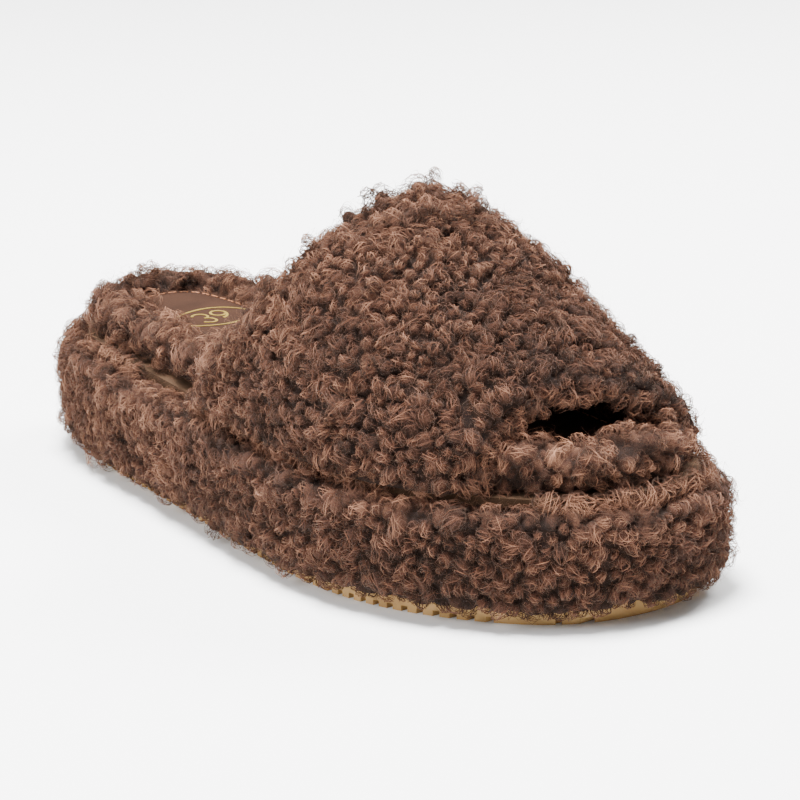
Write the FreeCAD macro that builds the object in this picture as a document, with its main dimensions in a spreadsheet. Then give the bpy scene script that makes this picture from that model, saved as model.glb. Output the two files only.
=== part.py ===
import FreeCAD, Part
import math
import os

from FreeCAD import Placement, Rotation, Vector

# Open-toe platform slide in curly faux shearling, for the right foot, size EU 39.
# Frame: +Z up, toe towards -Y, heel towards +Y, big toe towards +X.
# The origin lies under the middle of the slide, on the floor.

DRIVING_SIZES = [
    ("sole_length", 267.0, "rubber outsole, heel to toe"),
    ("ball_width", 103.0, "rubber outsole, across the ball of the foot"),
    ("outsole_thickness", 5.0, "rubber outsole"),
    ("notch_width", 1.9, "tread notch along the sole"),
    ("notch_depth", 1.8, "tread notch, up from the floor"),
    ("notch_pitch", 4.6, "one tread notch to the next"),
    ("platform_height", 38.0, "floor to the top of the platform, at mid length"),
    ("platform_fall", 5.0, "how much lower the platform is at the toe than at the heel"),
    ("midsole_inset", 2.0, "foam platform inside the outsole's edge"),
    ("wrap_overhang", 8.5, "fur platform band outside the outsole's edge"),
    ("wrap_round", 4.0, "rounding of the fur band's outer edges"),
    ("cover_thickness", 3.0, "suede-covered board on top of the platform"),
    ("cover_inset", 1.0, "that board inside the outsole's edge"),
    ("margin_thickness", 1.2, "upper's edge, turned in under the footbed"),
    ("margin_outer_inset", 4.0, "where the upper turns in"),
    ("margin_inner_inset", 19.0, "how far the turned edge reaches in"),
    ("board_thickness", 1.5, "insole board"),
    ("board_inset", 8.0, "insole board inside the outsole's edge"),
    ("rim_outer_inset", 4.5, "fur footbed rim, outer face"),
    ("rim_inner_inset", 18.0, "fur footbed rim, inner face"),
    ("rim_height", 11.0, "fur footbed rim"),
    ("rim_round", 4.5, "rounding of the fur rim's top edges"),
    ("roll_inner_inset", 16.0, "foam roll inside the rim, inner face"),
    ("roll_height", 7.0, "foam roll inside the rim"),
    ("core_thickness", 2.5, "firm foam footbed"),
    ("cushion_thickness", 2.5, "memory foam on the footbed"),
    ("sock_thickness", 1.2, "microsuede insock"),
    ("stitch_inset", 21.0, "insock stitch line inside the outsole's edge"),
    ("stitch_length", 3.0, "one stitch"),
    ("stitch_pitch", 4.4, "one stitch to the next"),
    ("thread_radius", 0.28, "insock thread"),
    ("stamp_thickness", 0.15, "foil size stamp"),
    ("stamp_digit", 11.0, "height of the stamp's digits"),
    ("stamp_stroke", 0.9, "line width of the foil stamp"),
    ("upper_overhang", 4.0, "upper's outer face outside the outsole's edge"),
    ("upper_fur", 5.0, "fur layer of the upper"),
    ("upper_foam", 2.0, "foam interlining of the upper"),
    ("upper_lining", 1.0, "lining of the upper"),
    ("upper_ridge", 12.0, "upper's highest line, off centre towards the big toe"),
]

# Outline of the sole: share of its length from the heel, then share of its width
# at the ball, positive on the big toe side.
SOLE_OUTLINE = [
    (0.000, 0.02), (0.036, 0.27), (0.127, 0.37), (0.318, 0.35), (0.547, 0.38),
    (0.678, 0.455), (0.785, 0.495), (0.884, 0.49), (0.970, 0.415), (1.000, 0.165),
    (0.970, -0.126), (0.884, -0.34), (0.768, -0.476), (0.648, -0.495), (0.487, -0.447),
    (0.225, -0.365), (0.105, -0.306), (0.026, -0.185),
]

# Upper: share of the sole's length from the heel, then height above the platform cover.
UPPER_ARCHES = [
    (0.40, 64.0), (0.56, 70.5), (0.67, 69.5), (0.785, 53.0), (0.88, 36.0), (0.955, 23.0),
]

# Rear edge of the upper in side view: share of the length, height above the cover.
REAR_EDGE = [(0.43, -1.0), (0.48, 22.0), (0.54, 46.0), (0.565, 76.0)]

# Front edge of the upper from above: share of the length, share of the ball width.
FRONT_EDGE = [
    (0.80, -0.62), (0.865, -0.42), (0.895, -0.30), (0.90, -0.14), (0.915, 0.08), (0.93, 0.30),
    (0.925, 0.62),
]

# Steps along each arch of the upper.
ARCH_STEPS = 8

# The stretch of the sole where the upper is turned in, as shares of its length.
MARGIN_SPAN = (0.43, 0.91)

# Tread notches across the sole: start and end as shares of the ball width.
NOTCH_REACH = [(-0.7, -0.26), (-0.15, 0.15), (0.26, 0.7)]

# The stretch of the sole with tread notches, as shares of its length.
NOTCHED_SPAN = (0.015, 0.985)

# Middle of the size stamp: share of the length, share of the ball width.
STAMP_CENTRE = (0.22, 0.0)

# Size stamp, in quarters of a digit's height: middle of the stamp to the middle of
# a digit, and the long and short radius of the oval around the digits.
STAMP_DIGIT_OFFSET = 1.4
STAMP_OVAL_RADII = (5.5, 3.6)

os.makedirs("parts", exist_ok=True)
doc = FreeCAD.newDocument("slide")

sheet = doc.addObject("Spreadsheet::Sheet", "Sizes")
for row, (alias, value, note) in enumerate(DRIVING_SIZES, start=1):
    sheet.set(f"A{row}", alias)
    sheet.set(f"B{row}", str(value))
    sheet.setAlias(f"B{row}", alias)
    sheet.set(f"C{row}", note)
doc.recompute()

sub_parts = []


def size(alias):
    return float(sheet.get(alias))


def station(share):
    """Y of a point at this share of the sole's length from the heel."""
    return (0.5 - share) * size("sole_length")


def sole_curve(grow):
    """Closed outline of the sole, moved outwards by grow, as a periodic spline."""
    base = Part.BSplineCurve()
    through = [
        Vector(across * size("ball_width"), station(along), 0) for along, across in SOLE_OUTLINE
    ]
    base.interpolate(through, PeriodicFlag=True)
    if grow == 0:
        return base
    moved = []
    for point in through:
        tangent = Vector(*base.tangent(base.parameter(point))[0])
        moved.append(point + Vector(-tangent.y, tangent.x, 0) * grow)
    curve = Part.BSplineCurve()
    curve.interpolate(moved, PeriodicFlag=True)
    return curve


def half_width(share, grow, side):
    """X where the moved outline crosses a station, on side +1 (big toe) or -1."""
    middle = Vector(0, station(share), 0)
    across = Part.LineSegment(middle, middle + Vector(side * size("sole_length"), 0, 0))
    return sole_curve(grow).intersectCC(across)[0].X


def tilted_placement(lift):
    """Frame parallel to the sloping platform top, lift above it."""
    slope = math.degrees(math.atan2(size("platform_fall"), size("sole_length")))
    lean = Rotation(Vector(1, 0, 0), slope)
    platform_top = Vector(0, 0, size("platform_height"))
    return Placement(platform_top + lean.multVec(Vector(0, 0, lift)), lean)


def new_body(label, lift=0.0, tilted=False, exported=True):
    """A body whose own z=0 is lift above the floor, or above the sloping platform top."""
    body = doc.addObject("PartDesign::Body", label)
    body.Label = label
    level = Placement(Vector(0, 0, lift), Rotation())
    body.Placement = tilted_placement(lift) if tilted else level
    if exported:
        sub_parts.append(body)
    return body


def new_sketch(body, name, plane, offset=0.0):
    sketch = body.newObject("Sketcher::SketchObject", name)
    support = next(item for item in body.Origin.OriginFeatures if item.Role == plane)
    sketch.AttachmentSupport = [(support, "")]
    sketch.MapMode = "FlatFace"
    sketch.AttachmentOffset = Placement(Vector(0, 0, offset), Rotation())
    return sketch


def outline_pad(body, insets, height):
    """Pad of one outline, or of the ring between two, bound to a cell of the sheet."""
    sketch = new_sketch(body, body.Name + "_outline", "XY_Plane")
    for inset in insets:
        sketch.addGeometry(sole_curve(-inset), False)
    pad = body.newObject("PartDesign::Pad", body.Name + "_pad")
    pad.Profile = sketch
    pad.setExpression("Length", height)


def ring_pocket(body, name, insets, depth, offset=0.0):
    """Pocket upwards from the body's own z=offset, in the ring between two outlines."""
    sketch = new_sketch(body, name + "_outline", "XY_Plane", offset)
    for inset in insets:
        sketch.addGeometry(sole_curve(-inset), False)
    pocket = body.newObject("PartDesign::Pocket", name)
    pocket.Profile = sketch
    pocket.Reversed = True
    pocket.setExpression("Length", depth)


def round_edges(body, radius, wanted):
    """Fillet the edges of the body's tip for which wanted(edge) is true."""
    doc.recompute()
    base = body.Tip
    names = [f"Edge{i}" for i, edge in enumerate(base.Shape.Edges, start=1) if wanted(edge)]
    rounding = body.newObject("PartDesign::Fillet", body.Name + "_rounding")
    rounding.Base = (base, names)
    rounding.setExpression("Radius", radius)


def closed_polygon(sketch, corners):
    for start, end in zip(corners, corners[1:] + corners[:1]):
        sketch.addGeometry(Part.LineSegment(start, end), False)


def slope_top(body, middle):
    """Cut a body's top down to the platform's slope, middle high at mid length."""
    reach = size("sole_length")
    fall = size("platform_fall")
    sketch = new_sketch(body, body.Name + "_slope", "YZ_Plane", -size("ball_width"))
    closed_polygon(sketch, [
        Vector(-reach, middle - fall, 0),
        Vector(reach, middle + fall, 0),
        Vector(reach, middle + 3 * fall, 0),
        Vector(-reach, middle + 3 * fall, 0),
    ])
    cut = body.newObject("PartDesign::Pocket", body.Name + "_slope_cut")
    cut.Profile = sketch
    cut.Reversed = True
    cut.Length = 2 * size("ball_width")


def trim_beyond(body, name, plane, offset, depth, through, away):
    """Cut a body off along a curve on a plane, as deep as depth, on the away side of it."""
    sketch = new_sketch(body, name + "_line", plane, offset)
    edge = Part.BSplineCurve()
    edge.interpolate(through)
    sketch.addGeometry(edge, False)
    corners = [edge.EndPoint, edge.EndPoint + away, edge.StartPoint + away, edge.StartPoint]
    for start, end in zip(corners, corners[1:]):
        sketch.addGeometry(Part.LineSegment(start, end), False)
    cut = body.newObject("PartDesign::Pocket", name)
    cut.Profile = sketch
    cut.Reversed = True
    cut.Length = depth


# --- outsole: rubber sheet with tread notches that show along its edge -------------

outsole = new_body("outsole")
outline_pad(outsole, [0.0], "Sizes.outsole_thickness")
notches = new_sketch(outsole, "notch_row", "XY_Plane")
notch_start = station(NOTCHED_SPAN[1])
for left, right in NOTCH_REACH:
    low = Vector(left * size("ball_width"), notch_start, 0)
    high = Vector(right * size("ball_width"), notch_start + size("notch_width"), 0)
    closed_polygon(notches, [low, Vector(high.x, low.y, 0), high, Vector(low.x, high.y, 0)])
notch_cut = outsole.newObject("PartDesign::Pocket", "notch_cut")
notch_cut.Profile = notches
notch_cut.Reversed = True
notch_cut.setExpression("Length", "Sizes.notch_depth")
doc.recompute()
notched_length = station(NOTCHED_SPAN[0]) - notch_start
notch_count = int(notched_length / size("notch_pitch"))
tread = outsole.newObject("PartDesign::LinearPattern", "tread")
tread.Originals = [notch_cut]
tread.Direction = (notches, ["V_Axis"])
tread.Length = (notch_count - 1) * size("notch_pitch")
tread.Occurrences = notch_count
outsole.Tip = tread

# --- platform: foam block, fur band around it, suede-covered board on top ----------

platform_base = size("outsole_thickness")
midsole = new_body("platform_midsole", lift=platform_base)
outline_pad(midsole, [size("midsole_inset")], "Sizes.platform_height")
slope_top(midsole, size("platform_height") - platform_base)

wrap = new_body("platform_wrap", lift=platform_base)
outline_pad(wrap, [-size("wrap_overhang"), size("midsole_inset")], "Sizes.platform_height")
slope_top(wrap, size("platform_height") - platform_base)
outside_sole = (size("sole_length") + size("wrap_overhang")) / 2
round_edges(
    wrap, "Sizes.wrap_round",
    lambda edge: edge.Closed and edge.BoundBox.YMax > outside_sole,
)

cover = new_body("platform_cover", tilted=True)
outline_pad(cover, [size("cover_inset")], "Sizes.cover_thickness")

# --- footbed: board, foams and microsuede inside a fur-wrapped rim -----------------

margin_base = size("cover_thickness")
margins = new_body("upper_margins", lift=margin_base, tilted=True)
outline_pad(
    margins, [size("margin_outer_inset"), size("margin_inner_inset")], "Sizes.margin_thickness",
)
ends = new_sketch(margins, "margin_ends", "XY_Plane")
for start, end in [(-0.1, MARGIN_SPAN[0]), (MARGIN_SPAN[1], 1.1)]:
    closed_polygon(ends, [
        Vector(-size("ball_width"), station(end), 0),
        Vector(size("ball_width"), station(end), 0),
        Vector(size("ball_width"), station(start), 0),
        Vector(-size("ball_width"), station(start), 0),
    ])
end_cut = margins.newObject("PartDesign::Pocket", "margin_end_cut")
end_cut.Profile = ends
end_cut.Reversed = True
end_cut.setExpression("Length", "Sizes.margin_thickness")

filler_blank = new_body("filler_blank", lift=margin_base, tilted=True, exported=False)
outline_pad(filler_blank, [size("board_inset")], "Sizes.margin_thickness")
filler = doc.addObject("Part::Cut", "bottom_filler")
filler.Label = "bottom_filler"
filler.Base = filler_blank
filler.Tool = margins
sub_parts.append(filler)

footbed_base = margin_base + size("margin_thickness")
board = new_body("insole_board", lift=footbed_base, tilted=True)
outline_pad(board, [size("board_inset")], "Sizes.board_thickness")

foam_base = footbed_base + size("board_thickness")
core = new_body("footbed_core", lift=foam_base, tilted=True)
outline_pad(core, [size("rim_inner_inset")], "Sizes.core_thickness")

cushion = new_body("footbed_cushion", lift=foam_base + size("core_thickness"), tilted=True)
outline_pad(cushion, [size("rim_inner_inset")], "Sizes.cushion_thickness")

sock_base = foam_base + size("core_thickness") + size("cushion_thickness")
sock = new_body("insock", lift=sock_base, tilted=True)
outline_pad(sock, [size("rim_inner_inset")], "Sizes.sock_thickness")

roll = new_body("rim_foam_roll", lift=foam_base, tilted=True)
outline_pad(roll, [size("board_inset"), size("roll_inner_inset")], "Sizes.roll_height")

rim = new_body("footbed_wrap", lift=footbed_base, tilted=True)
outline_pad(rim, [size("rim_outer_inset"), size("rim_inner_inset")], "Sizes.rim_height")
round_edges(
    rim, "Sizes.rim_round",
    lambda edge: edge.Closed and edge.BoundBox.ZMin > size("rim_height") / 2,
)
ring_pocket(
    rim, "board_seat", [size("board_inset"), size("rim_inner_inset")], "Sizes.board_thickness",
)
ring_pocket(
    rim, "roll_seat", [size("board_inset"), size("roll_inner_inset")], "Sizes.roll_height",
    offset=size("board_thickness"),
)

# --- insock trim: one row of stitches and a foil size stamp ------------------------


def solids_above_board(label, solids, lift):
    """A group of loose solids, laid on a plane parallel to the platform's top."""
    group = doc.addObject("Part::Feature", label)
    group.Label = label
    group.Shape = Part.makeCompound(solids)
    group.Placement = tilted_placement(lift)
    sub_parts.append(group)


sock_top = sock_base + size("sock_thickness")
stitch_line = sole_curve(-size("stitch_inset")).toShape()
stitch_count = int(stitch_line.Length / size("stitch_pitch"))
stitches = []
for middle in stitch_line.discretize(stitch_count + 1)[:-1]:
    along = Vector(*stitch_line.Curve.tangent(stitch_line.Curve.parameter(middle))[0])
    start = middle - along * (size("stitch_length") / 2) + Vector(0, 0, size("thread_radius"))
    stitches.append(Part.makeCylinder(size("thread_radius"), size("stitch_length"), start, along))
solids_above_board("insock_stitching", stitches, sock_top)


def stroke(centre, radius, from_deg, to_deg):
    """Flat foil line along an arc, as wide as the stamp's stroke."""
    half = size("stamp_stroke") / 2
    thickness = size("stamp_thickness")
    up = Vector(0, 0, 1)
    outer = Part.makeCylinder(radius + half, thickness, centre, up, to_deg - from_deg)
    inner = Part.makeCylinder(radius - half, thickness, centre, up)
    arc = outer.cut(inner)
    arc.rotate(centre, up, from_deg)
    return arc


def stamp_oval(centre, long_radius, short_radius):
    half = size("stamp_stroke") / 2
    discs = []
    for grow in (half, -half):
        ellipse = Part.Ellipse(centre, long_radius + grow, short_radius + grow)
        discs.append(Part.Face(Part.Wire(ellipse.toShape())))
    return discs[0].cut(discs[1]).extrude(Vector(0, 0, size("stamp_thickness")))


stamp_centre = Vector(STAMP_CENTRE[1] * size("ball_width"), station(STAMP_CENTRE[0]), 0)
bowl = size("stamp_digit") / 4
left_digit = stamp_centre - Vector(STAMP_DIGIT_OFFSET * bowl, 0, 0)
right_digit = stamp_centre + Vector(STAMP_DIGIT_OFFSET * bowl, 0, 0)
three = [
    stroke(left_digit + Vector(0, bowl, 0), bowl, -90, 160),
    stroke(left_digit - Vector(0, bowl, 0), bowl, -160, 90),
]
nine = [
    stroke(right_digit + Vector(0, bowl, 0), bowl, 0, 360),
    stroke(right_digit + Vector(-bowl, bowl, 0), 2 * bowl, -75, 0),
]
three_shape = three[0].fuse(three[1]).removeSplitter()
nine_shape = nine[0].fuse(nine[1]).removeSplitter()
oval = stamp_oval(stamp_centre, STAMP_OVAL_RADII[0] * bowl, STAMP_OVAL_RADII[1] * bowl)
solids_above_board("insock_size_stamp", [oval, three_shape, nine_shape], sock_top)

# --- upper: lining, foam and fur in one arch over the foot -------------------------


def arch(share, height, depth):
    """Two quarter ellipses that meet on the ridge, depth inside the upper's outer face."""
    ridge = size("upper_ridge")
    grow = size("upper_overhang") - depth
    shares = [step / ARCH_STEPS for step in range(ARCH_STEPS + 1)]
    points = []
    for part in shares:
        angle = math.pi * part
        side = 1 if part <= 0.5 else -1
        reach = half_width(share, grow, side) - ridge
        across = ridge + reach * abs(math.cos(angle))
        points.append(Vector(across, (height - depth) * math.sin(angle), 0))
    curve = Part.BSplineCurve()
    curve.interpolate(Points=points, Parameters=shares)
    return curve


def upper_layer(label, outer_depth, inner_depth):
    """One layer of the upper, between two depths inside its outer face."""
    body = new_body(label, lift=size("cover_thickness"), tilted=True)
    sections = []
    for number, (share, height) in enumerate(UPPER_ARCHES):
        sketch = new_sketch(body, f"{label}_arch_{number}", "XZ_Plane", -station(share))
        outer = arch(share, height, outer_depth)
        inner = arch(share, height, inner_depth)
        sketch.addGeometry(outer, False)
        sketch.addGeometry(Part.LineSegment(outer.EndPoint, inner.EndPoint), False)
        sketch.addGeometry(inner, False)
        sketch.addGeometry(Part.LineSegment(inner.StartPoint, outer.StartPoint), False)
        sections.append(sketch)
    loft = body.newObject("PartDesign::AdditiveLoft", label + "_loft")
    loft.Profile = sections[0]
    loft.Sections = sections[1:]

    far = size("sole_length")
    rear_edge = [Vector(station(share), height, 0) for share, height in REAR_EDGE]
    trim_beyond(
        body, label + "_rear_cut", "YZ_Plane", -size("ball_width"), 2 * size("ball_width"),
        rear_edge, Vector(far, 0, 0),
    )
    front_edge = [
        Vector(across * size("ball_width"), station(share), 0) for share, across in FRONT_EDGE
    ]
    below = size("cover_thickness")
    trim_beyond(
        body, label + "_front_cut", "XY_Plane", -below, far, front_edge, Vector(0, -far, 0),
    )


fur_depth = size("upper_fur")
foam_depth = fur_depth + size("upper_foam")
upper_layer("upper_fur", 0.0, fur_depth)
upper_layer("upper_foam", fur_depth, foam_depth)
upper_layer("upper_lining", foam_depth, foam_depth + size("upper_lining"))

doc.recompute()
for obj in doc.Objects:
    if "Invalid" in obj.State or "Error" in obj.State:
        raise RuntimeError(f"{obj.Name}: {obj.State}")
for sub_part in sub_parts:
    if sub_part.Shape.isNull() or not sub_part.Shape.isValid():
        raise RuntimeError(f"{sub_part.Label}: bad shape")
    sub_part.Shape.exportStep(f"parts/{sub_part.Label}.step")
    print(sub_part.Label, round(sub_part.Shape.Volume), "mm3")
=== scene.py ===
import math

import bpy
import numpy as np
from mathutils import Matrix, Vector, noise
from mathutils.bvhtree import BVHTree
from mathutils.kdtree import KDTree


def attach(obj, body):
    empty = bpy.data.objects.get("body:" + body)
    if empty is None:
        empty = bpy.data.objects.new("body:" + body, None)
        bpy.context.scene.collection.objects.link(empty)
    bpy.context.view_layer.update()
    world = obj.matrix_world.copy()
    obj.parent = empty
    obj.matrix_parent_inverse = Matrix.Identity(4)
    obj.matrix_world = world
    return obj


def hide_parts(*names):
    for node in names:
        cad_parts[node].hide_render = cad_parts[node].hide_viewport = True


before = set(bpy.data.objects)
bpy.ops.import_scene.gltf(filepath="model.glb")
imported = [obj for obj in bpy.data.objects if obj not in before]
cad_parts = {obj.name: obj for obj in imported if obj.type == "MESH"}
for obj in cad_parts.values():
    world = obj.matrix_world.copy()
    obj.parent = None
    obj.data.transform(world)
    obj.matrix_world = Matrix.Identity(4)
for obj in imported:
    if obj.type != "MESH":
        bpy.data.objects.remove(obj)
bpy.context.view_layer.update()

# Open-toe platform slide in curly faux shearling. The fur is real geometry: every curl is a
# bundle of closed strands that grows from a padded skin, which stands for the CAD solid.

MM = 0.001
rng = np.random.default_rng(39)

# --- camera, light, floor ------------------------------------------------------------

CAMERA_AZIMUTH = math.radians(-38.5)
CAMERA_ELEVATION = math.radians(16.4)
CAMERA_DISTANCE = 0.900
CAMERA_LENS = 122.4
LOOK_AT = Vector((0.0153, -0.0110, 0.0380))


def collect(obj):
    bpy.context.scene.collection.objects.link(obj)
    return obj


def back_vector(azimuth, elevation):
    flat = math.cos(elevation)
    return Vector((math.sin(azimuth) * flat, -math.cos(azimuth) * flat, math.sin(elevation)))


def make_camera():
    data = bpy.data.cameras.new("camera")
    data.lens = CAMERA_LENS
    data.clip_end = 20.0
    camera = collect(bpy.data.objects.new("camera", data))
    back = back_vector(CAMERA_AZIMUTH, CAMERA_ELEVATION)
    camera.location = LOOK_AT + back * CAMERA_DISTANCE
    camera.rotation_euler = back.to_track_quat("Z", "Y").to_euler()
    bpy.context.scene.camera = camera


def soft_box(name, place, aim, size, power):
    data = bpy.data.lights.new(name, "AREA")
    data.shape = "DISK"
    data.size = size
    data.energy = power
    light = collect(bpy.data.objects.new(name, data))
    light.location = place
    light.rotation_euler = (Vector(place) - Vector(aim)).to_track_quat("Z", "Y").to_euler()


def make_light():
    world = bpy.data.worlds.new("studio")
    world.use_nodes = True
    background = world.node_tree.nodes["Background"]
    background.inputs["Color"].default_value = (1.0, 1.0, 1.0, 1.0)
    background.inputs["Strength"].default_value = 0.44
    bpy.context.scene.world = world
    soft_box("key", (-0.18, 0.12, 2.2), (0.0, 0.0, 0.05), 1.0, 330.0)
    soft_box("side", (-1.7, 0.25, 0.9), (0.0, 0.0, 0.05), 0.9, 38.0)
    soft_box("back", (1.3, 0.05, 1.35), (0.0, 0.0, 0.05), 0.8, 56.0)


def make_floor():
    mesh = bpy.data.meshes.new("floor")
    reach = 4.0
    corners = [(-reach, -reach, 0), (reach, -reach, 0), (reach, reach, 0), (-reach, reach, 0)]
    mesh.from_pydata(corners, [], [(0, 1, 2, 3)])
    floor = collect(bpy.data.objects.new("floor", mesh))
    material, _, _ = new_material("floor_white", (0.92, 0.92, 0.92), 0.9)
    mesh.materials.append(material)


# --- materials -----------------------------------------------------------------------


def new_material(name, color, roughness):
    material = bpy.data.materials.new(name)
    material.use_nodes = True
    tree = material.node_tree
    shader = tree.nodes["Principled BSDF"]
    shader.inputs["Base Color"].default_value = (*color, 1.0)
    shader.inputs["Roughness"].default_value = roughness
    shader.inputs["Specular IOR Level"].default_value = 0.3
    return material, shader, tree


def node(tree, kind, **sockets):
    made = tree.nodes.new(kind)
    for name, value in sockets.items():
        made.inputs[name.replace("_", " ")].default_value = value
    return made


def color_ramp(tree, factor, stops):
    ramp = tree.nodes.new("ShaderNodeValToRGB")
    ramp.color_ramp.elements.remove(ramp.color_ramp.elements[1])
    ramp.color_ramp.elements[0].position = stops[0][0]
    ramp.color_ramp.elements[0].color = (*stops[0][1], 1.0)
    for position, color in stops[1:]:
        ramp.color_ramp.elements.new(position).color = (*color, 1.0)
    tree.links.new(factor, ramp.inputs["Fac"])
    return ramp.outputs["Color"]


def noise_value(tree, scale, detail=3.0, stretch=(1.0, 1.0, 1.0), swirl=0.0):
    coords = tree.nodes.new("ShaderNodeTexCoord")
    mapping = node(tree, "ShaderNodeMapping")
    mapping.inputs["Scale"].default_value = stretch
    made = node(tree, "ShaderNodeTexNoise", Scale=scale, Detail=detail, Distortion=swirl)
    tree.links.new(coords.outputs["Object"], mapping.inputs["Vector"])
    tree.links.new(mapping.outputs["Vector"], made.inputs["Vector"])
    return made.outputs["Fac"]


def add_bump(tree, shader, height, strength, distance):
    bump = node(tree, "ShaderNodeBump", Strength=strength, Distance=distance)
    tree.links.new(height, bump.inputs["Height"])
    tree.links.new(bump.outputs["Normal"], shader.inputs["Normal"])


# The wool's colour ramp: its two darkest colours are painted shade, deep in the coat and in the gaps
# between knobs; the lightest is the outer ends of the curls.
FUR_DEEP_SHADE = (0.008, 0.0034, 0.0022)
FUR_DARK = (0.028, 0.0107, 0.0061)
FUR_MID = (0.081, 0.0325, 0.0180)
FUR_TIP = (0.250, 0.119, 0.069)


def fur_material(name, grain, scale, swirl):
    """Wool colour from a painted number and a fine noise. The number holds painted shade, dark deep in the
    coat and lighter further out, on top of the wool's own tone.
    """
    _, shader, tree = new_material(name, FUR_MID, 0.85)
    shader.inputs["Sheen Weight"].default_value = 0.12
    shader.inputs["Sheen Roughness"].default_value = 0.5
    shader.inputs["Sheen Tint"].default_value = (0.9, 0.62, 0.45, 1.0)
    shader.inputs["Specular IOR Level"].default_value = 0.15
    painted = tree.nodes.new("ShaderNodeAttribute")
    painted.attribute_name = "strand"
    grains = node(tree, "ShaderNodeMath")
    grains.operation = "MULTIPLY_ADD"
    grains.inputs[1].default_value = grain
    grains.inputs[2].default_value = -0.5 * grain
    total = node(tree, "ShaderNodeMath")
    total.operation = "ADD"
    wool = noise_value(tree, scale, 5.0, swirl=swirl)
    tree.links.new(wool, grains.inputs[0])
    tree.links.new(grains.outputs["Value"], total.inputs[0])
    tree.links.new(painted.outputs["Fac"], total.inputs[1])
    color = color_ramp(tree, total.outputs["Value"], [
        (0.0, FUR_DEEP_SHADE), (0.25, FUR_DARK), (0.55, FUR_MID), (0.95, FUR_TIP),
    ])
    tree.links.new(color, shader.inputs["Base Color"])
    return shader, tree, wool


def skin_material():
    shader, tree, wool = fur_material("fur_skin", 1.3, 1300.0, 3.5)
    shader.inputs["Sheen Weight"].default_value = 0.03
    add_bump(tree, shader, wool, 1.0, 0.0018)


def suede_material(name, dark, light):
    material, shader, tree = new_material(name, light, 0.92)
    shader.inputs["Sheen Weight"].default_value = 0.1
    shader.inputs["Sheen Roughness"].default_value = 0.5
    shader.inputs["Sheen Tint"].default_value = (*light, 1.0)
    shader.inputs["Specular IOR Level"].default_value = 0.1
    broad = noise_value(tree, 60.0, 2.0)
    fine = noise_value(tree, 2600.0, 2.0)
    mix = node(tree, "ShaderNodeMix")
    mix.inputs["Factor"].default_value = 0.5
    tree.links.new(broad, mix.inputs["A"])
    tree.links.new(fine, mix.inputs["B"])
    color = color_ramp(tree, mix.outputs["Result"], [(0.36, dark), (0.64, light)])
    tree.links.new(color, shader.inputs["Base Color"])
    add_bump(tree, shader, fine, 0.35, 0.0003)
    return material


def rubber_material():
    material, shader, tree = new_material("rubber_tan", (0.52, 0.34, 0.16), 0.62)
    broad = noise_value(tree, 45.0, 4.0)
    fine = noise_value(tree, 1500.0, 2.0)
    color = color_ramp(tree, broad, [
        (0.3, (0.30, 0.165, 0.055)), (0.55, (0.40, 0.235, 0.085)), (0.8, (0.47, 0.30, 0.125)),
    ])
    tree.links.new(color, shader.inputs["Base Color"])
    add_bump(tree, shader, fine, 0.25, 0.0003)
    return material


def lining_material():
    """Smooth brown microfibre with a fine weave."""
    material, shader, tree = new_material("lining_brown", (0.060, 0.032, 0.020), 0.8)
    shader.inputs["Sheen Weight"].default_value = 0.1
    shader.inputs["Sheen Tint"].default_value = (0.7, 0.45, 0.3, 1.0)
    shader.inputs["Specular IOR Level"].default_value = 0.2
    weave = noise_value(tree, 1400.0, 2.0, (1.0, 3.0, 1.0))
    color = color_ramp(tree, weave, [(0.3, (0.025, 0.013, 0.008)), (0.7, (0.046, 0.025, 0.016))])
    tree.links.new(color, shader.inputs["Base Color"])
    add_bump(tree, shader, weave, 0.3, 0.0002)
    return material


def foil_material():
    material, shader, tree = new_material("foil_gold", (0.50, 0.35, 0.07), 0.42)
    shader.inputs["Metallic"].default_value = 0.85
    color = color_ramp(tree, noise_value(tree, 900.0), [
        (0.3, (0.40, 0.27, 0.045)), (0.7, (0.55, 0.39, 0.09)),
    ])
    tree.links.new(color, shader.inputs["Base Color"])
    return material


def thread_material():
    material, shader, tree = new_material("thread_copper", (0.50, 0.19, 0.06), 0.55)
    shader.inputs["Sheen Weight"].default_value = 0.05
    color = color_ramp(tree, noise_value(tree, 3000.0, 2.0, (1.0, 4.0, 1.0)), [
        (0.3, (0.15, 0.048, 0.018)), (0.7, (0.27, 0.105, 0.040)),
    ])
    tree.links.new(color, shader.inputs["Base Color"])
    return material


# --- mesh helpers --------------------------------------------------------------------


def unit(vectors):
    return vectors / np.maximum(np.linalg.norm(vectors, axis=-1, keepdims=True), 1e-12)


def mesh_arrays(mesh):
    points = np.empty(3 * len(mesh.vertices))
    mesh.vertices.foreach_get("co", points)
    normals = np.empty(3 * len(mesh.vertices))
    mesh.vertex_normals.foreach_get("vector", normals)
    mesh.calc_loop_triangles()
    triangles = np.empty(3 * len(mesh.loop_triangles), dtype=np.int64)
    mesh.loop_triangles.foreach_get("vertices", triangles)
    return points.reshape(-1, 3), normals.reshape(-1, 3), triangles.reshape(-1, 3)


def areas(points, triangles):
    first, second, third = (points[triangles[:, corner]] for corner in range(3))
    return 0.5 * np.linalg.norm(np.cross(second - first, third - first), axis=1)


def joined_mesh(nodes):
    points, triangles, start = [], [], 0
    for name in nodes:
        own_points, _, own_triangles = mesh_arrays(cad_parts[name].data)
        points.append(own_points)
        triangles.append(own_triangles + start)
        start += len(own_points)
    return np.concatenate(points), np.concatenate(triangles)


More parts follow.
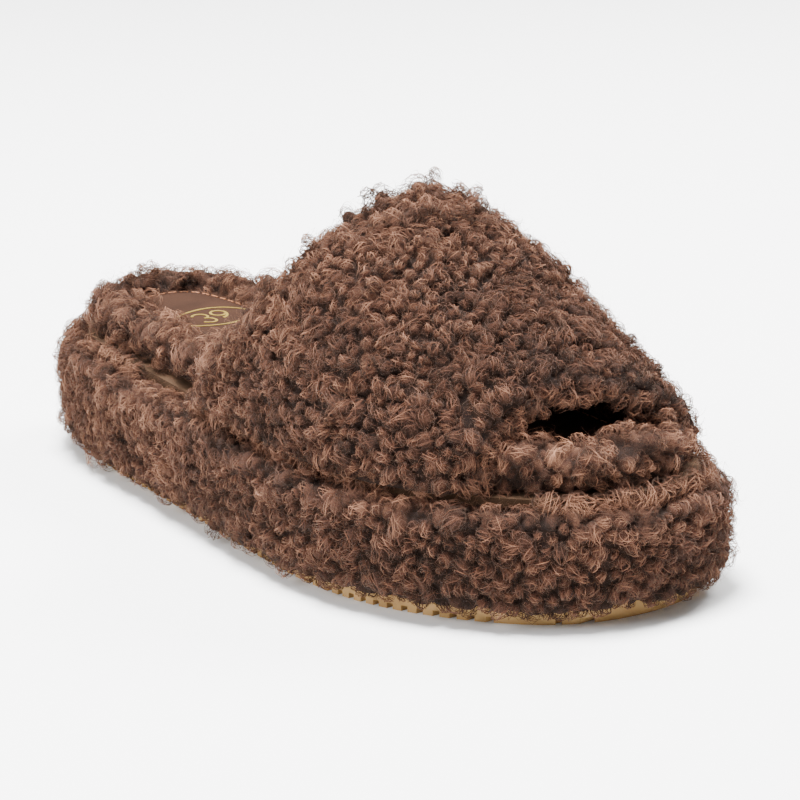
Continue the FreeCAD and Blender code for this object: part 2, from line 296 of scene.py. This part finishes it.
def remeshed(name, nodes, voxel):
    """One even mesh round these CAD nodes together, as a new object."""
    points, triangles = joined_mesh(nodes)
    mesh = bpy.data.meshes.new(name)
    mesh.from_pydata(points.tolist(), [], triangles.tolist())
    piece = collect(bpy.data.objects.new(name, mesh))
    modifier = piece.modifiers.new("even", "REMESH")
    modifier.mode = "VOXEL"
    modifier.voxel_size = voxel
    graph = bpy.context.evaluated_depsgraph_get()
    even = bpy.data.meshes.new_from_object(piece.evaluated_get(graph))
    piece.modifiers.clear()
    piece.data = even
    even.shade_smooth()
    return piece


def kd_tree(points):
    tree = KDTree(len(points))
    for index, place in enumerate(points):
        tree.insert(place, index)
    tree.balance()
    return tree


def set_points(mesh, points):
    mesh.vertices.foreach_set("co", points.ravel())
    mesh.update()


def own_piece(piece, material, slot, *nodes):
    """A visual piece in one material that stands for these CAD nodes."""
    piece.data.materials.clear()
    piece.data.materials.append(material)
    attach(piece, "root")
    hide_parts(*nodes)


def blocked_by(nodes):
    points, triangles = joined_mesh(nodes)
    return BVHTree.FromPolygons(points.tolist(), triangles.tolist())


def clear_distance(points, normals, tree, reach):
    """How far each point sees along its normal before it meets the tree, up to reach."""
    seen = np.full(len(points), reach)
    for index, (point, normal) in enumerate(zip(points, normals)):
        hit = tree.ray_cast(Vector(point + normal * 0.2 * MM), Vector(normal), reach)
        if hit[3] is not None:
            seen[index] = hit[3]
    return seen


def smooth_field(values, triangles, count, rounds):
    """Average a number per vertex with its neighbours'."""
    start, end = np.concatenate([triangles[:, [0, 1]], triangles[:, [1, 2]], triangles[:, [2, 0]]]).T
    degree = np.bincount(start, minlength=count) + np.bincount(end, minlength=count)
    for _ in range(rounds):
        total = np.bincount(start, values[end], count) + np.bincount(end, values[start], count)
        values = 0.5 * values + 0.5 * total / np.maximum(degree, 1)
    return values


def noise_at(points, scale, seed):
    """Smooth noise from -1 to 1 at each point, scale in metres."""
    shift = Vector((seed * 7.3, seed * 3.1, seed * 5.7))
    return np.array([noise.noise(Vector(point) / scale + shift) for point in points])


# --- fur -----------------------------------------------------------------------------

CURL_STEPS = 8
CURL_STRANDS = 15
CURLS_PER_PIECE = 260
CURL_SPACING = 3.2 * MM
STRAND_HALF_WIDTH = 0.103 * MM
FRIZZ_STEPS = 6
FRIZZ_HALF_WIDTH = 0.048 * MM
FRIZZ_LENGTH = 3.3 * MM
FIBRES_PER_AREA = 3.0e5  # per square metre
FIBRES_PER_PIECE = 5000
SKIN_VOXEL = 0.95 * MM
FLOOR_GAP = 0.5 * MM  # lowest that any strand reaches
PLATFORM_SLOPE = 5.0 / 267.0  # its top rises towards the heel


def scatter(points, normals, triangles, area, spacing):
    """Even but random roots, at least the spacing apart, on the triangles whose area isn't 0."""
    tries = int(9.0 * area.sum() / spacing**2)
    root, normal = points_on(points, normals, triangles, area, tries)
    taken, kept = {}, []
    cell = np.floor(root / spacing).astype(int)
    around = [(i, j, k) for i in (-1, 0, 1) for j in (-1, 0, 1) for k in (-1, 0, 1)]
    for index in range(tries):
        home = cell[index]
        near = [taken.get((home[0] + i, home[1] + j, home[2] + k), ()) for i, j, k in around]
        if all(((root[index] - root[other]) ** 2).sum() > spacing**2 for group in near for other in group):
            taken.setdefault(tuple(home), []).append(index)
            kept.append(index)
    return root[kept], normal[kept]


def points_on(points, normals, triangles, share, count):
    face = rng.choice(len(triangles), size=count, p=share / share.sum())
    mix = rng.dirichlet((1.0, 1.0, 1.0), size=count)[..., None]
    return (points[triangles[face]] * mix).sum(axis=1), unit((normals[triangles[face]] * mix).sum(axis=1))


def tube_mesh(name, path, across, width, thickness, tone, sides=3):
    """Closed tapering tubes as one mesh. path is (tubes, steps, 3); across is the direction of
    the flat tube's width. Each tube has a cell of its own in the layout its colour is stored by."""
    tubes, steps, _ = path.shape
    along = unit(np.gradient(path, axis=1))
    out = unit(np.cross(along, across))
    side = np.cross(out, along)
    turn = 2 * math.pi * (np.arange(sides) + 0.25) / sides
    points = (
        path[:, :, None]
        + side[:, :, None] * (width[..., None] * np.cos(turn))[..., None]
        + out[:, :, None] * (thickness[..., None] * np.sin(turn))[..., None]
    ).reshape(-1, 3)
    points[:, 2] = np.maximum(points[:, 2], FLOOR_GAP)
    base = (np.arange(tubes) * steps * sides)[:, None, None]
    ring = base + (np.arange(steps - 1) * sides)[None, :, None]
    low_a, low_b = ring + np.arange(sides), ring + (np.arange(sides) + 1) % sides
    quads = np.stack([low_a, low_b, low_b + sides, low_a + sides], axis=-1).reshape(-1, 4)
    start_caps = base[:, 0] + np.arange(sides)[::-1]
    end_caps = base[:, 0] + sides * (steps - 1) + np.arange(sides)
    caps = np.concatenate([start_caps, end_caps])
    loops = np.concatenate([quads.ravel(), caps.ravel()])
    starts = np.concatenate([np.arange(len(quads)) * 4, len(quads) * 4 + np.arange(len(caps)) * sides])

    mesh = bpy.data.meshes.new(name)
    mesh.vertices.add(len(points))
    mesh.vertices.foreach_set("co", points.ravel())
    mesh.loops.add(len(loops))
    mesh.loops.foreach_set("vertex_index", loops)
    mesh.polygons.add(len(starts))
    mesh.polygons.foreach_set("loop_start", starts)
    mesh.update(calc_edges=True)
    mesh.shade_smooth()
    painted = mesh.attributes.new("strand", "FLOAT", "POINT")
    painted.data.foreach_set("value", np.repeat(tone.ravel(), sides))

    u = (np.arange(sides)[:, None] + np.array([0, 1, 1, 0])) / sides
    v = (np.arange(steps - 1)[:, None] + np.array([0, 0, 1, 1])) / (steps - 1)
    wall = np.empty((tubes, steps - 1, sides, 4, 2))
    wall[..., 0] = u[None, None]
    wall[..., 1] = v[None, :, None]
    lid = np.empty((2, tubes, sides, 2))
    lid[..., 0] = np.arange(sides) / sides
    lid[0, ..., 1], lid[1, ..., 1] = 0.0, 1.0
    lid[0] = lid[0, :, ::-1]
    grid = math.ceil(math.sqrt(tubes))
    cell = np.stack([np.arange(tubes) % grid, np.arange(tubes) // grid], axis=-1)
    stored = np.concatenate([
        ((cell[:, None, None, None] + 0.1 + 0.8 * wall) / grid).reshape(-1, 2),
        ((cell[None, :, None] + 0.1 + 0.8 * lid) / grid).reshape(-1, 2),
    ])
    mesh.uv_layers.new(name="OFBake").data.foreach_set("uv", stored.ravel())
    return mesh


def fur_piece(mesh):
    mesh.materials.append(bpy.data.materials["fur_strands"])
    piece = collect(bpy.data.objects.new(mesh.name, mesh))
    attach(piece, "root")
    return piece


def frame_on(normal, angle):
    """Two directions in the plane across each normal, the first turned by angle."""
    helper = np.where(np.abs(normal[:, 2:3]) < 0.85, [[0.0, 0.0, 1.0]], [[0.0, 1.0, 0.0]])
    east = unit(np.cross(helper, normal))
    north = np.cross(normal, east)
    first = east * np.cos(angle)[:, None] + north * np.sin(angle)[:, None]
    return first, np.cross(normal, first)


def wavy(path, s, size):
    """The same paths, each with a slight wave of its own."""
    for waves in (1.3, 2.9):
        phase = rng.uniform(0, 2 * math.pi, (*path.shape[:-2], 1, 3))
        sway = size * rng.normal(0, 1, (*path.shape[:-2], 1, 3))
        path = path + sway * np.sin(2 * math.pi * waves * s[..., None] + phase)
    return path


def curl_piece(name, root, normal, radius, slack, tone):
    """Knobs of wool: each is a ball of fine strands wound round an axis of its own."""
    count = len(root)
    shape = (count, CURL_STRANDS, 1)
    s = np.linspace(0.0, 1.0, CURL_STEPS)[None, None, :]
    across, along = frame_on(normal, rng.uniform(0, 2 * math.pi, count))
    tip = np.radians(rng.uniform(-25, 65, count))[:, None]
    axis = across * np.cos(tip) + normal * np.sin(tip)
    up = unit(normal - axis * (normal * axis).sum(axis=1, keepdims=True))
    # each strand's own axis leans a little from the curl's
    axis = unit(axis[:, None] + rng.normal(0, 0.5, (count, CURL_STRANDS, 3)))
    up = unit(up[:, None] - axis * (up[:, None] * axis).sum(axis=-1, keepdims=True))
    east = np.cross(up, axis)

    size = radius[:, None, None]
    give = slack[:, None, None]
    turns = rng.uniform(0.75, 1.1, (count, 1, 1)) * (1.0 - 0.15 * give) * rng.uniform(0.8, 1.2, shape)
    angle = -0.5 * math.pi + 2 * math.pi * turns * s + rng.normal(0, 0.3, shape)
    lean = np.linspace(-1.05, 1.05, CURL_STRANDS)[None, :, None] + rng.normal(0, 0.12, shape)
    lean = lean * (1.0 - 0.25 * s)
    stray = np.where(rng.random(shape) < 0.10 + 0.12 * give, rng.uniform(0.1, 0.7, shape), 0.0)
    loose = (stray + 0.25 * give) * np.clip(s - 0.55, 0, 1) * 1.6
    reach = size * rng.uniform(0.85, 1.18, shape) * (1.0 + loose)
    ring = reach * np.cos(lean)
    centre = (root + normal * (0.72 * radius)[:, None])[:, None, None]
    path = (
        centre
        + east[:, :, None] * (ring * np.cos(angle))[..., None]
        + up[:, :, None] * (ring * np.sin(angle))[..., None]
        + axis[:, :, None] * (reach * np.sin(lean))[..., None]
    )
    stretch = (rng.uniform(0.0, 0.45, count)[:, None] * along)[:, None, None]
    path = path + ((path - centre) * along[:, None, None]).sum(axis=-1, keepdims=True) * stretch
    path = wavy(path, s, 0.24 * MM)

    # painted shade: each strand is darker near its root, deep in the coat, and lighter the further out it
    # stands
    height = ((path - root[:, None, None]) * normal[:, None, None]).sum(axis=-1) / (1.8 * size)
    hue = 0.02 + 0.66 * np.clip(height, 0, 1.2) ** 1.4 + tone[:, None, None] + rng.normal(0, 0.07, shape)
    taper = np.clip(3.0 * s + 0.5, 0, 1) * np.clip((1.06 - s) * 3.5, 0.2, 1.0)
    width = STRAND_HALF_WIDTH * rng.uniform(0.6, 1.25, shape) * taper
    strands = count * CURL_STRANDS
    mesh = tube_mesh(
        name, path.reshape(strands, CURL_STEPS, 3),
        np.repeat(axis.reshape(strands, 1, 3), CURL_STEPS, axis=1),
        width.reshape(strands, CURL_STEPS), 0.7 * width.reshape(strands, CURL_STEPS),
        np.clip(hue, 0, 1).reshape(strands, CURL_STEPS),
    )
    return fur_piece(mesh)


def grow_curls(name, root, normal, radius, slack, tone):
    order = np.lexsort((root[:, 0], np.floor(root[:, 1] / (30 * MM))))
    parts = np.array_split(order, max(1, math.ceil(len(order) / CURLS_PER_PIECE)))
    for number, part in enumerate(parts, start=1):
        curl_piece(f"{name}_{number:02d}", root[part], normal[part], radius[part], slack[part], tone[part])


def grow_frizz(name, root, normal, length):
    """Single thin fibres that stand out of the wool and bend over."""
    count = len(root)
    s = np.linspace(0.0, 1.0, FRIZZ_STEPS)[None, :]
    first, second = frame_on(normal, rng.uniform(0, 2 * math.pi, count))
    reach = (length * np.clip(rng.lognormal(0.0, 0.45, count), 0.4, 2.2))[:, None]
    sway = rng.uniform(0.12, 0.32, (count, 1)) * reach
    speed = rng.uniform(2.5, 7.5, (count, 1))
    phase = rng.uniform(0, 2 * math.pi, (count, 1))
    bend = rng.normal(0, 0.45, (count, 1)) * reach
    path = (
        root[:, None]
        + normal[:, None] * (reach * s * (1.0 - 0.25 * s))[..., None]
        + first[:, None] * (sway * (np.sin(speed * s + phase) - np.sin(phase)) + bend * s**2)[..., None]
        + second[:, None] * (sway * (np.cos(speed * s + phase) - np.cos(phase)))[..., None]
    )
    width = FRIZZ_HALF_WIDTH * rng.uniform(0.7, 1.4, (count, 1)) * (1.15 - s)
    # painted shade: each fibre is darker at its root in the wool and lighter towards its free end
    tone = np.clip(0.30 + 0.42 * s + rng.normal(0, 0.1, (count, 1)), 0, 1)
    across = np.repeat(second[:, None], FRIZZ_STEPS, axis=1)
    return fur_piece(tube_mesh(name, path, across, width, width, tone))


def knobby(points, normals, weight, root, radius, tone):
    """The skin raised into a knob under each curl, and its painted shade: dark in the gaps between the
    knobs, lighter on their tops.
    """
    tree = kd_tree(root)
    lift = np.zeros(len(points))
    shade = np.zeros(len(points))
    crumple = np.stack([noise_at(points, 2.4 * MM, seed) for seed in (7, 8, 9)], axis=-1)
    looked = points + 0.9 * MM * crumple
    for index in np.flatnonzero(weight > 0.02):
        _, nearest, distance = tree.find(looked[index])
        rise = math.sqrt(max(0.0, 1.0 - (distance / (1.15 * radius[nearest])) ** 2))
        lift[index] = 0.90 * radius[nearest] * rise * weight[index]
        # painted shade: dark where the knobs meet, lighter towards each knob's top
        shade[index] = 0.03 + 0.50 * rise**2.2 + tone[nearest]
    return points + normals * lift[:, None], np.clip(shade, 0, 1)


def at_top_edge(points):
    """From 0 to 1 in the last millimetres below the highest line that slopes as the platform does."""
    height = points[:, 2] - PLATFORM_SLOPE * points[:, 1]
    return np.clip((height - height.max() + 9 * MM) / (7 * MM), 0, 1)


def fluff_of(points):
    """Where the wool is brushed out rather than wound up: in patches, towards the top edge, and
    more at the heel than at the toe."""
    patches = 0.22 + 0.6 * noise_at(points, 24 * MM, 3)
    patches = patches + 0.24 * np.clip((points[:, 1] + 30 * MM) / (80 * MM), -1, 1)
    return np.clip(patches + 0.35 * at_top_edge(points) + rng.normal(0, 0.15, len(points)), 0, 1)


def with_locks(root, normal, size, slack, tone, share):
    """The same curls and, on a share of them, two smaller ones that stand out as a lock."""
    chosen = np.flatnonzero(rng.random(len(root)) < share * (1.0 + 4.0 * at_top_edge(root)))
    lean = unit(normal[chosen] + rng.normal(0, 0.35, (len(chosen), 3)))
    roots, normals, sizes, slacks, tones = [root], [normal], [size], [slack], [tone]
    for rise, shrink in ((1.2, 0.85), (2.15, 0.62)):
        roots.append(root[chosen] + lean * (rise * size[chosen])[:, None])
        normals.append(lean)
        sizes.append(size[chosen] * shrink)
        slacks.append(np.clip(slack[chosen] + 0.2, 0, 1))
        tones.append(tone[chosen] + 0.04)
    return [np.concatenate(parts) for parts in (roots, normals, sizes, slacks, tones)]


def fur_coat(name, nodes, solids, inset, radius, sight, clumps, locks, toe_painted_light, swell=None):
    """A knobby skin in place of CAD solids, with the curls and fibres that grow from its open
    faces: those that see further than sight before they meet one of the other solids. clumps
    says how high the wool bunches up all over, and how much more at its top edge. locks is the
    share of curls that stand out, and the number after it is painted light: how much lighter
    the wool is made towards the toe, as if more light fell there."""
    skin = remeshed(name + "_skin", nodes, SKIN_VOXEL)
    points, normals, triangles = mesh_arrays(skin.data)
    seen = clear_distance(points, normals, blocked_by(solids), 0.15)
    weight = smooth_field((seen > sight).astype(float), triangles, len(points), 4)
    if swell is not None:
        points = points + swell(points) * weight[:, None]
    height = clumps[0] + clumps[1] * at_top_edge(points)
    bunched = height * np.clip(noise_at(points, 7 * MM, 13), -0.15, 0.6)
    points = points + normals * (weight * (bunched - inset))[:, None]
    area = areas(points, triangles) * (weight[triangles].min(axis=1) > 0.4)
    root, normal = scatter(points, normals, triangles, area, CURL_SPACING)
    slack = fluff_of(root)
    tufts = 1.0 + 0.12 * slack + 0.12 * at_top_edge(root) + 0.24 * noise_at(root, 12 * MM, 11)
    size = radius * tufts * np.clip(rng.lognormal(0.0, 0.22, len(root)), 0.6, 1.5)
    # The wool's own tone varies at random; 0.16 * slack lightens it where it is brushed out, and since
    # slack rises along the top edge, there it is also painted light on the top edges.
    tone = 0.15 * noise_at(root, 16 * MM, 4) + 0.10 * noise_at(root, 45 * MM, 7) + 0.16 * slack - 0.07
    tone = tone + rng.normal(0, 0.06, len(root))
    # painted light: the wool is made lighter towards the toe, as if more light fell there
    tone = tone + toe_painted_light * np.clip((-root[:, 1] - 60 * MM) / (50 * MM), 0, 1)
    grow_curls(name + "_curls", *with_locks(root, normal, size, slack, tone, locks))

    fibre, direction = points_on(points, normals, triangles, area, int(area.sum() * FIBRES_PER_AREA))
    hanging = (direction[:, 2] < -0.2) | (fibre[:, 2] < 9 * MM)
    fibre, direction = fibre[~hanging], direction[~hanging]
    parts = np.array_split(np.arange(len(fibre)), math.ceil(len(fibre) / FIBRES_PER_PIECE))
    for number, part in enumerate(parts, start=1):
        root_end = (fibre + direction * radius)[part]
        grow_frizz(f"{name}_frizz_{number}", root_end, direction[part], FRIZZ_LENGTH)

    points, shade = knobby(points, normals, weight, root, size, tone)
    set_points(skin.data, points)
    painted = skin.data.attributes.new("strand", "FLOAT", "POINT")
    painted.data.foreach_set("value", shade)
    own_piece(skin, bpy.data.materials["fur_skin"], "brown_fur", *nodes)
    return skin


# where the suede strip shows, as ranges along the slipper, the last one on the outer side
# only; wool hangs over the rest
STRIP_SHOWS = [(94 * MM, 118 * MM), (24 * MM, 60 * MM), (-119 * MM, -80 * MM)]


def fringe():
    """Loose curls that hang over the strip between the platform and the footbed."""
    points, normals, triangles = mesh_arrays(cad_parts["platform_cover"].data)
    area = areas(points, triangles)
    facing = np.abs(normals[triangles][:, :, 2]).max(axis=1) < 0.75
    root, normal = scatter(points, normals, triangles, area * facing, 2.5 * MM)
    shows = np.zeros(len(root), dtype=bool)
    for low, high in STRIP_SHOWS:
        outer = (root[:, 0] < 0) | (low > 0)
        shows |= (root[:, 1] > low) & (root[:, 1] < high) & outer
    root, normal = root[~shows], normal[~shows]
    normal = unit(normal * [1.0, 1.0, 0.0] + [0.0, 0.0, 0.25])
    slack = rng.uniform(0.3, 0.9, len(root))
    size = np.where(root[:, 1] < -90 * MM, 2.8, 2.3) * MM * rng.uniform(0.8, 1.3, len(root))
    grow_curls("fringe_curls", root, normal, size, slack, rng.normal(0.10, 0.06, len(root)))


def edge_wool(cloth):
    """Curls that turn in over the cut edges of the lining, at both ends of the upper. More of
    them hang from the front edge, and close the opening towards the big toe."""
    points, normals, triangles = mesh_arrays(cloth.data)
    facing = np.abs(normals[triangles][:, :, 1]).min(axis=1) > 0.6
    root, normal = scatter(points, normals, triangles, areas(points, triangles) * facing, 2.7 * MM)
    front = (normal[:, 1] < 0) & (root[:, 1] < -60 * MM)
    closing = np.clip((root[front, 0] - 18 * MM) / (14 * MM), 0, 1)
    hanging = root[front] - np.outer((0.5 + 3.2 * closing) * MM, [0.0, 0.0, 1.0])
    size = np.concatenate([np.full(len(root), 2.1 * MM), (1.4 + 1.0 * closing) * MM])
    root = np.concatenate([root - normal * 0.5 * MM, hanging])
    normal = np.concatenate([normal, unit(normal[front] * [0.4, 1.0, 0.0] - [0.0, 0.0, 0.7])])
    slack = rng.uniform(0.2, 0.8, len(root))
    size = size * rng.uniform(0.75, 1.25, len(root))
    grow_curls("edge_curls", root, normal, size, slack, rng.normal(0.0, 0.06, len(root)))


# --- padded pieces -------------------------------------------------------------------

CLOTH_FRAMES = 20


def swelling(name, nodes, voxel, most, held=None):
    """Cloth under pressure, run on a coarse copy of these nodes and held still close to some
    points. Returns a function that gives how far it moves any points, never more than most."""
    coarse = remeshed(name, nodes, voxel)
    before, _, _ = mesh_arrays(coarse.data)
    cloth = coarse.modifiers.new("cloth", "CLOTH")
    cloth.settings.quality = 6
    cloth.settings.use_pressure = True
    cloth.settings.uniform_pressure_force = 4.0
    cloth.settings.effector_weights.gravity = 0.0
    cloth.point_cache.frame_start = 1
    cloth.point_cache.frame_end = CLOTH_FRAMES
    if held is not None:
        pins = coarse.vertex_groups.new(name="pins")
        near = kd_tree(held)
        pins.add([i for i, p in enumerate(before) if near.find(p)[2] < 0.8 * voxel], 1.0, "REPLACE")
        cloth.settings.vertex_group_mass = "pins"
    scene = bpy.context.scene
    for step in range(1, CLOTH_FRAMES + 1):
        scene.frame_set(step)
    after = bpy.data.meshes.new_from_object(coarse.evaluated_get(bpy.context.evaluated_depsgraph_get()))
    moved = mesh_arrays(after)[0] - before
    length = np.linalg.norm(moved, axis=1, keepdims=True)
    moved = moved * np.minimum(1.0, most / np.maximum(length, 1e-9))
    scene.frame_set(1)
    bpy.data.objects.remove(coarse)
    tree = kd_tree(before)

    def shift(points):
        shifts = np.zeros_like(points)
        for index, place in enumerate(points):
            _, others, distances = zip(*tree.find_n(place, 4))
            share = 1.0 / (np.array(distances) + 0.5 * MM)
            shifts[index] = (moved[list(others)] * share[:, None]).sum(axis=0) / share.sum()
        return shifts

    return shift


def insock_pad(material):
    """The insock over its foams: a crowned pad, drawn in along its row of stitches."""
    nodes = ("insock", "footbed_cushion", "footbed_core")
    stitches, _, _ = mesh_arrays(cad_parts["insock_stitching"].data)
    swell = swelling("insock_swelling", nodes, 4 * MM, 1.8 * MM, held=stitches)
    pad = remeshed("insock_pad", nodes, 1.2 * MM)
    points, normals, _ = mesh_arrays(pad.data)
    points = points + swell(points) * [0.3, 0.3, 1.0]
    line = kd_tree(stitches)
    gap = np.array([line.find(point)[2] for point in points])
    upward = np.clip(normals[:, 2], 0, 1)
    points[:, 2] -= 0.7 * MM * np.exp(-((gap / (1.3 * MM)) ** 2)) * upward
    points[:, 2] += 0.25 * MM * noise_at(points, 14 * MM, 5) * upward
    set_points(pad.data, points)
    own_piece(pad, material, "khaki_suede", *nodes)
    return pad


def laid_on(name, cad_node, pad, material, slot, sink):
    """A copy of a CAD node that follows the pad's surface in place of the flat insock."""
    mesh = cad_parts[cad_node].data.copy()
    points, _, _ = mesh_arrays(mesh)
    pad_points, _, pad_triangles = mesh_arrays(pad.data)
    trees = [
        blocked_by(["insock"]),
        BVHTree.FromPolygons(pad_points.tolist(), pad_triangles.tolist()),
    ]
    down = Vector((0, 0, -1))
    for point in points:
        above = Vector((point[0], point[1], 0.2))
        flat, crowned = [tree.ray_cast(above, down)[0] for tree in trees]
        if flat is not None and crowned is not None:
            point[2] += crowned.z - flat.z - sink
    set_points(mesh, points)
    own_piece(collect(bpy.data.objects.new(name, mesh)), material, slot, cad_node)


def lining_cloth(material, swell):
    """The lining over its foam, a little slack between the seams at its edges."""
    nodes = ("upper_lining", "upper_foam")
    cloth = remeshed("upper_lining_cloth", nodes, 1.0 * MM)
    points, normals, _ = mesh_arrays(cloth.data)
    points = points + swell(points) + normals * (0.35 * MM * noise_at(points, 18 * MM, 6))[:, None]
    set_points(cloth.data, points)
    own_piece(cloth, material, "upper_backing", *nodes)
    return cloth


# --- build ---------------------------------------------------------------------------

fur_material("fur_strands", 0.30, 1000.0, 2.2)
skin_material()
make_camera()
make_light()
make_floor()

CORE = ["outsole", "platform_midsole", "platform_cover", "footbed_core", "insock", "insole_board"]
fur_coat(
    "platform_fur", ["platform_wrap"], CORE + ["footbed_wrap", "upper_fur"],
    inset=2.3 * MM, radius=1.95 * MM, sight=2.0 * MM,
    clumps=(0.9 * MM, 0.0), locks=0.0, toe_painted_light=0.0,
)
rim = fur_coat(
    "footbed_fur", ["footbed_wrap"], CORE + ["platform_wrap", "upper_lining", "rim_foam_roll"],
    inset=1.0 * MM, radius=2.0 * MM, sight=2.0 * MM,
    clumps=(0.4 * MM, 3.4 * MM), locks=0.02, toe_painted_light=0.13,
    swell=swelling("rim_swelling", ["footbed_wrap", "rim_foam_roll"], 4 * MM, 1.0 * MM),
)
upper_swell = swelling("upper_swelling", ["upper_fur", "upper_foam", "upper_lining"], 5 * MM, 1.5 * MM)
upper = fur_coat(
    "upper_fur", ["upper_fur"], CORE + ["platform_wrap", "footbed_wrap", "upper_foam"],
    inset=2.1 * MM, radius=1.95 * MM, sight=5.0 * MM,
    clumps=(2.4 * MM, 2.6 * MM), locks=0.05, toe_painted_light=0.0,
    swell=upper_swell,
)
edge_wool(lining_cloth(lining_material(), upper_swell))
fringe()

suede = suede_material("suede_insock", (0.017, 0.0072, 0.0038), (0.029, 0.0125, 0.0068))
pad = insock_pad(suede)
laid_on("insock_stitches", "insock_stitching", pad, thread_material(), "copper_thread", 0.1 * MM)
laid_on("insock_stamp", "insock_size_stamp", pad, foil_material(), "gold_foil", 0.0)

foam = suede_material("foam_brown", (0.030, 0.016, 0.010), (0.056, 0.030, 0.019))
looks = {
    "outsole": rubber_material(),
    "platform_cover": suede_material("suede_edge", (0.034, 0.0185, 0.0102), (0.053, 0.0300, 0.0168)),
    "platform_midsole": foam,
    "upper_margins": foam,
    "bottom_filler": foam,
    "insole_board": foam,
    "rim_foam_roll": foam,
}
for name, material in looks.items():
    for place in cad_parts[name].material_slots:
        place.material = material
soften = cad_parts["outsole"].modifiers.new("worn_edges", "BEVEL")
soften.width = 0.7 * MM
soften.segments = 2
soften.angle_limit = math.radians(50)
